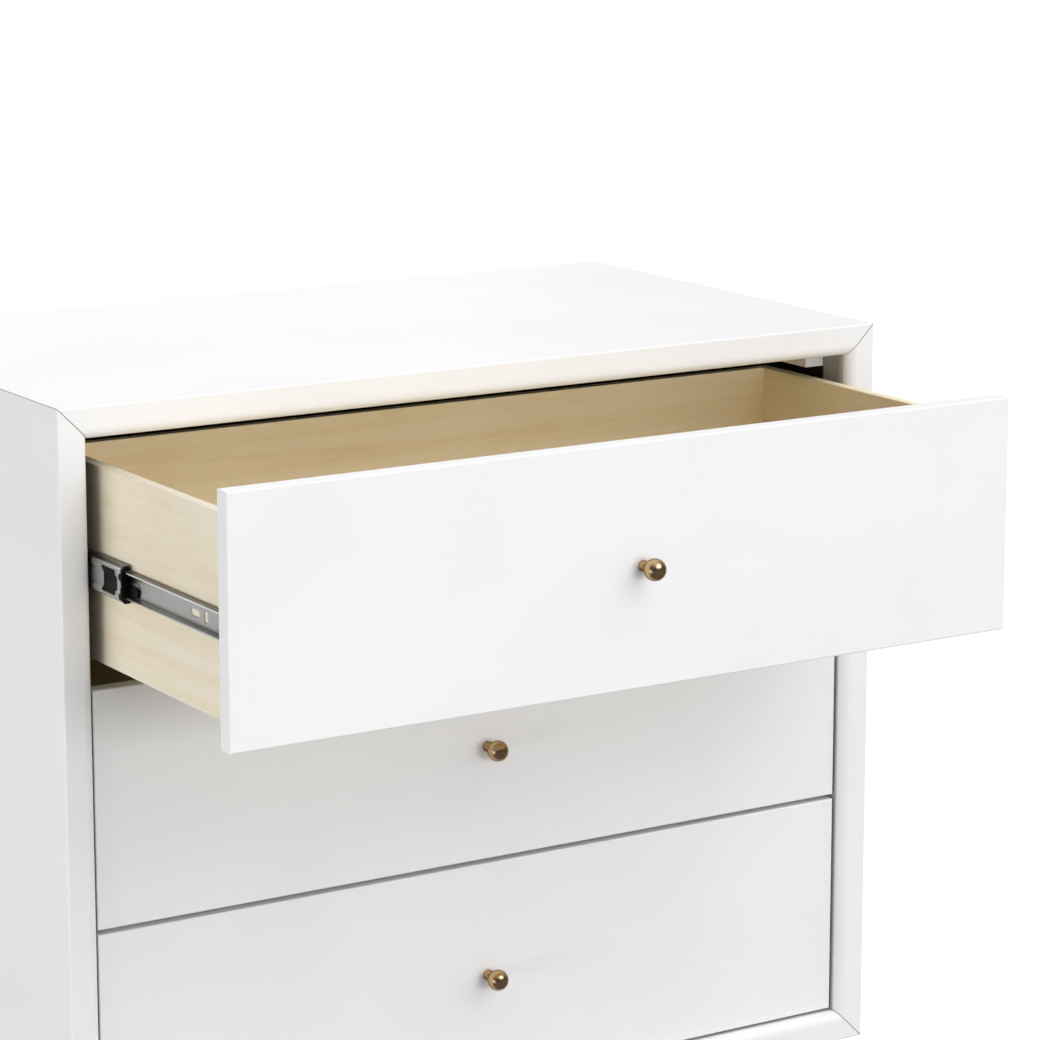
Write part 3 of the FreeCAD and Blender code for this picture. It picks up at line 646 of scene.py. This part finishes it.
def drawerRailPiece(name, nose, length, r):
    half = [(r["drawerTip"], r["drawerHalf"]), (r["trackStart"], r["drawerHalf"] - r["trackDip"]),
            (r["trackEnd"], r["drawerHalf"] - r["trackDip"]), (r["drawerWeb"], r["drawerHalf"])]
    piece = rollSheet(name, mirrorDown(half), nose, length, {**r, "bend": r["drawerBend"]})
    modify(piece, "SOLIDIFY", thickness=r["sheet"], offset=0)
    web = nose + right * (wall + r["drawerWeb"] - r["cutFrom"] - nose.x)
    steps = r["slotSteps"]
    outlines = [slotOutline(web + deep * r["longSlot"], r["longSlotHalf"], r["longSlotRadius"], steps)]
    for side in (-1, 1):
        centre = web + deep * r["twinSlot"] + up * side * r["twinSlotOffset"]
        outlines.append(slotOutline(centre, r["twinSlotHalf"], r["twinSlotRadius"], steps))
    for y in r["drawerHoles"]:
        outlines.append(ringPoints(web + deep * y, deep, up, r["holeRadius"], steps))
    easeEdges(piece, r["edge"], angle=r["edgeAngle"])
    for outline in outlines:
        cutAway(piece, drawBlock("slotCutter", outline, right * r["cutDepth"]))
    settle(piece)
    return piece


def railNose(node):
    low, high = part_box(node)
    return Vector((wall, low.y, (low.z + high.z) / 2)), high.y - low.y


for kind, node, build, slotName in (
        ("middleRail", "drawer_{}_middle_rail_left", lambda *a: middleRailPiece(*a, rail, window), "rails"),
        ("drawerRail", "drawer_{}_rail_left", lambda *a: drawerRailPiece(*a, rail), "drawer")):
    first = build(f"{kind}Left1", *railNose(node.format(1)))
    for i, left in inEachDrawer(first, f"{kind}Left", node):
        mirrored = copyPiece(left, f"{kind}Right{i}", Vector(), mirrored=True)
        body = f"{slotName}_{i}"
        place(left, zincSteel, body, "rail_steel", node.format(i))
        place(mirrored, zincSteel, body, "rail_steel", node.format(i).replace("left", "right"))
print("rails rolled")


# bumpers

# Moulded in one with a plate that fills the window: the cap, its ears over the lips, its bosses and two
# knuckles.
bumper = {
    "reach": 3.0 * mm, "lap": 0.05 * mm, "edge": 0.35 * mm,
    # Outlines of the upper half, in millimetres from the case wall and from the rail's middle.
    "capOutline": [(9.0, 0.0), (9.0, 7.4), (7.0, 9.6), (5.0, 9.6), (5.0, 12.5), (9.1, 12.5), (11.5, 13.5),
                   (11.5, 15.2), (9.9, 16.6), (5.6, 16.6), (3.4, 14.0), (3.1, 11.8), (2.2, 9.6), (2.2, 3.2),
                   (3.1, 2.2)],
    "bodyOutline": [(8.8, 7.2), (5.0, 9.3), (4.05, 9.3)], "bodyStart": 1.0 * mm, "bodyLength": 9.0 * mm,
    "boss": 3.3 * mm, "bossHeight": 0.5 * mm, "hole": 1.7 * mm, "holeFrom": 1.0 * mm, "holeLength": 0.9 * mm,
    "bossOut": 5.6 * mm, "bossAt": 6.6 * mm, "sink": 0.6 * mm, "bossEdge": 0.2 * mm, "roundSteps": 28,
    "knuckle": 3.1 * mm, "knuckleOut": 2.0 * mm, "knuckleLength": 0.75 * mm,
    "knuckleHeights": (7.4 * mm, -10.2 * mm),
    "plateDepth": 0.75 * mm, "plateMargin": 0.25 * mm, "plateThickness": 0.9 * mm, "plateEdge": 0.15 * mm,
}


def roundBlock(name, middle, axes, radius, steps, way):
    return drawBlock(name, ringPoints(middle, *axes, radius, steps), way)


def bumperPiece(name, nose, b, r, w):
    front = nose - deep * b["reach"]

    def at(x, z):
        return front + right * x + up * z

    cap = [at(x * mm, z * mm) for x, z in mirrorDown(b["capOutline"])]
    piece = drawBlock(name, cap, deep * (b["reach"] - b["lap"]))
    body = [at(x * mm, z * mm) + deep * b["bodyStart"] for x, z in mirrorDown(b["bodyOutline"])]
    addTo(piece, drawBlock("bumperBody", body, deep * b["bodyLength"]))
    easeEdges(piece, b["edge"])
    for side in (-1, 1):
        middle = at(b["bossOut"], side * b["bossAt"])
        boss = roundBlock("boss", middle + deep * b["sink"], (right, up), b["boss"], b["roundSteps"],
                          -deep * (b["bossHeight"] + b["sink"]))
        easeEdges(boss, b["bossEdge"])
        cutAway(boss, roundBlock("bossHole", middle - deep * b["holeFrom"], (right, up), b["hole"],
                                 b["roundSteps"], deep * b["holeLength"]))
        addTo(piece, boss)
    for height in b["knuckleHeights"]:
        middle = nose + right * b["knuckleOut"] + up * height
        knuckle = roundBlock("knuckle", middle, (deep, up), b["knuckle"], b["roundSteps"],
                             right * b["knuckleLength"])
        easeEdges(knuckle, b["bossEdge"])
        addTo(piece, knuckle)
    plateFace = nose + right * (r["middleWeb"] - r["sheet"] / 2 + b["plateDepth"])
    outline = [plateFace + deep * y + up * z for y, z in windowOutline(w, b["plateMargin"])]
    plate = drawBlock("windowPlate", outline, right * b["plateThickness"])
    easeEdges(plate, b["plateEdge"], segments=1)
    joinPieces(piece, plate)
    settle(piece)
    return piece


first = bumperPiece("railBumpers1", railNose("drawer_1_middle_rail_left")[0], bumper, rail, window)
joinPieces(first, copyPiece(first, "mirroredBumper", Vector(), mirrored=True))
for i, piece in inEachDrawer(first, "railBumpers", "drawer_{}_rail_bumpers"):
    place(piece, blackAcetal, f"rails_{i}", "black_plastic", f"drawer_{i}_rail_bumpers")
print("bumpers moulded")


# release levers

# A black lever on each drawer rail, with the steel tongue that it bends.
lever = {
    "fromNose": 160 * mm, "thickness": 2.1 * mm, "edge": 0.25 * mm,
    "tongueThickness": 0.8 * mm, "tongueGap": 0.1 * mm, "tongueEdge": 0.15 * mm,
    # Outlines in millimetres: back along the rail from the lever's front, and up from the rail's middle.
    "armOutline": [(0.0, -2.0), (3.0, -0.6), (26.0, -0.6), (30.0, -3.0), (60.0, -2.0), (60.0, 3.5),
                   (64.0, 3.5), (64.0, -4.0), (30.0, -5.4), (18.0, -9.0), (2.0, -9.0), (0.0, -7.0)],
    "wedgeOutline": [(-2.0, 8.4), (-0.5, 9.4), (34.0, 9.4), (34.0, 8.0), (12.0, 6.8)],
    "tongueOutline": [(1.0, 0.4), (24.0, 0.4), (24.0, 3.6), (4.0, 3.6), (1.0, 2.6)],
}


def railFlat(name, outline, nose, fromNose, thickness, gap, r):
    # a flat part that lies on the drawer rail's web
    face = wall + r["drawerWeb"] - r["sheet"] / 2
    start = nose + deep * fromNose + right * (face - thickness - gap - nose.x)
    return drawBlock(name, [start + deep * y * mm + up * z * mm for y, z in outline], right * thickness)


def leverPiece(name, nose, v, r):
    piece, wedge = [railFlat(n, v[outline], nose, v["fromNose"], v["thickness"], 0.0, r)
                    for n, outline in ((name, "armOutline"), ("leverWedge", "wedgeOutline"))]
    for part in (piece, wedge):
        easeEdges(part, v["edge"])
    joinPieces(piece, wedge)
    settle(piece)
    return piece


def tonguePiece(name, nose, v, r):
    piece = railFlat(name, v["tongueOutline"], nose, v["fromNose"], v["tongueThickness"], v["tongueGap"], r)
    easeEdges(piece, v["tongueEdge"])
    return piece


for kind, build, material, slotName in (("releaseLevers", leverPiece, blackAcetal, "black_plastic"),
                                        ("leverTongues", tonguePiece, zincSteel, "rail_steel")):
    first = build(f"{kind}1", railNose("drawer_1_rail_left")[0], lever, rail)
    joinPieces(first, copyPiece(first, "mirroredLever", Vector(), mirrored=True))
    for i, piece in inEachDrawer(first, kind, "drawer_{}_rail_left"):
        stoodFor = [f"drawer_{i}_release_levers"] if kind == "releaseLevers" else []
        place(piece, material, f"drawer_{i}", slotName, *stoodFor)
print("levers fitted")


# floor, sky and lights

studio = {
    "floor": "#959594", "floorSize": 80.0, "lightColour": "#FFFFFF",
    # What the floor adds to the chest's light on its left and elsewhere, and to the view, and where the left
    # starts.
    "floorGlow": {"left": 0.01, "rest": 0.045, "seen": 0.80, "leftStart": -0.5, "leftFull": -1.3},
    # Sky brightness for soft light and for reflections, on the side that the axis points to and on the
    # other: at the zenith, at the horizon and below it. The blend is where one side changes into the other,
    # and a steep sky is dark until near the zenith.
    "diffuse": {"axis": (1.0, 0.0, 0.0), "near": (1.95, 1.00, 0.50), "far": (0.0, 0.30, 0.50),
                "blend": (-0.5, 0.5), "steepness": 1},
    "gloss": {"axis": (0.0, -1.0, 0.0), "near": (1.00, 0.04, 0.14), "far": (0.80, 1.30, 0.60),
              "blend": (-0.6, -0.2), "steepness": 4},
    "seen": 1.02, "target": (0, 0, 0.6),
}


def skyBrightness(tree, way, height, isAbove, s):
    towards = addNode(tree, "ShaderNodeVectorMath", {1: s["axis"]}, {0: way}, operation="DOT_PRODUCT")
    side = addRange(tree, towards.outputs["Value"], *s["blend"])
    rise = addMath(tree, "POWER", height, s["steepness"])
    far, near = [blendValues(tree, isAbove, below, addRange(tree, rise, 0.0, 1.0, horizon, zenith))
                 for zenith, horizon, below in (s["far"], s["near"])]
    return blendValues(tree, side, far, near)


def makeFloor(s):
    glow = s["floorGlow"]
    bpy.ops.object.select_all(action="DESELECT")
    bpy.ops.mesh.primitive_plane_add(size=s["floorSize"], location=(0, 0, 0))
    floor = bpy.context.object
    floor.name = "floor"
    floor.visible_glossy = False
    material, tree, shader, place = startMaterial("paleSweep", **{
        "Base Color": linear(s["floor"]), "Roughness": 1.0, "Emission Color": linear(s["lightColour"])})
    across = addNode(tree, "ShaderNodeSeparateXYZ", links={"Vector": place}).outputs["X"]
    lit = addRange(tree, across, glow["leftFull"], glow["leftStart"], glow["left"], glow["rest"])
    isSeen = addNode(tree, "ShaderNodeLightPath").outputs["Is Camera Ray"]
    tree.links.new(blendValues(tree, isSeen, lit, glow["seen"]), shader.inputs["Emission Strength"])
    floor.data.materials.append(material)


def makeSky(s):
    world = bpy.data.worlds.new("studioSky")
    bpy.context.scene.world = world
    world.use_nodes = True
    tree = world.node_tree
    tree.nodes.clear()
    way = addNode(tree, "ShaderNodeTexCoord").outputs["Generated"]
    height = addNode(tree, "ShaderNodeSeparateXYZ", links={"Vector": way}).outputs["Z"]
    isAbove = addMath(tree, "GREATER_THAN", height, 0.0)
    path = addNode(tree, "ShaderNodeLightPath").outputs
    soft, shiny = [skyBrightness(tree, way, height, isAbove, s[use]) for use in ("diffuse", "gloss")]
    lit = blendValues(tree, path["Is Glossy Ray"], soft, shiny)
    seen = blendValues(tree, path["Is Camera Ray"], lit, s["seen"])
    sky = addNode(tree, "ShaderNodeBackground", {"Color": linear(s["lightColour"])}, {"Strength": seen})
    addNode(tree, "ShaderNodeOutputWorld", links={"Surface": sky.outputs["Background"]})


softboxes = [   # direction from the chest, distance and size in metres, power in watts
    {"name": "keyBox", "from": (0.23, -0.72, 0.66), "distance": 4.5, "size": (3.6, 2.4), "power": 37},
    {"name": "keyCard", "from": (0.23, -0.72, 0.66), "distance": 4.6, "size": (3.0, 2.2), "power": 60,
     "onlyReflected": True},
    {"name": "leftCard", "from": (-0.963, -0.233, -0.10), "distance": 3.3, "size": (2.0, 1.4), "power": 12,
     "onlyReflected": True},
    {"name": "leftBox", "from": (-0.963, -0.233, -0.13), "distance": 3.2, "size": (1.4, 0.7), "power": 14,
     "unreflected": True},
    {"name": "leftStrip", "from": (-0.97, 0.10, -0.12), "distance": 3.2, "size": (3.6, 0.5), "power": 47,
     "unreflected": True},
    {"name": "frontBox", "from": (0.0, -0.95, 0.12), "distance": 4.5, "size": (2.0, 1.0), "power": 56,
     "unreflected": True},
    {"name": "backBox", "from": (0.25, 0.93, 0.25), "distance": 4.5, "size": (3.0, 1.5), "power": 15},
]


def makeSoftbox(b, target):
    bpy.ops.object.select_all(action="DESELECT")
    away = Vector(b["from"]).normalized()
    turn = away.to_track_quat("Z", "Y").to_euler()
    bpy.ops.object.light_add(type="AREA", location=target + away * b["distance"], rotation=turn)
    light = bpy.context.object
    light.name = b["name"]
    light.data.shape = "RECTANGLE"
    light.data.size, light.data.size_y = b["size"]
    light.data.energy = b["power"]
    light.visible_glossy = not b.get("unreflected", False)
    light.visible_diffuse = not b.get("onlyReflected", False)


makeFloor(studio)
makeSky(studio)
for softbox in softboxes:
    makeSoftbox(softbox, Vector(studio["target"]))
bpy.context.scene.view_settings.view_transform = "Standard"
print("studio lit")

bpy.context.view_layer.update()
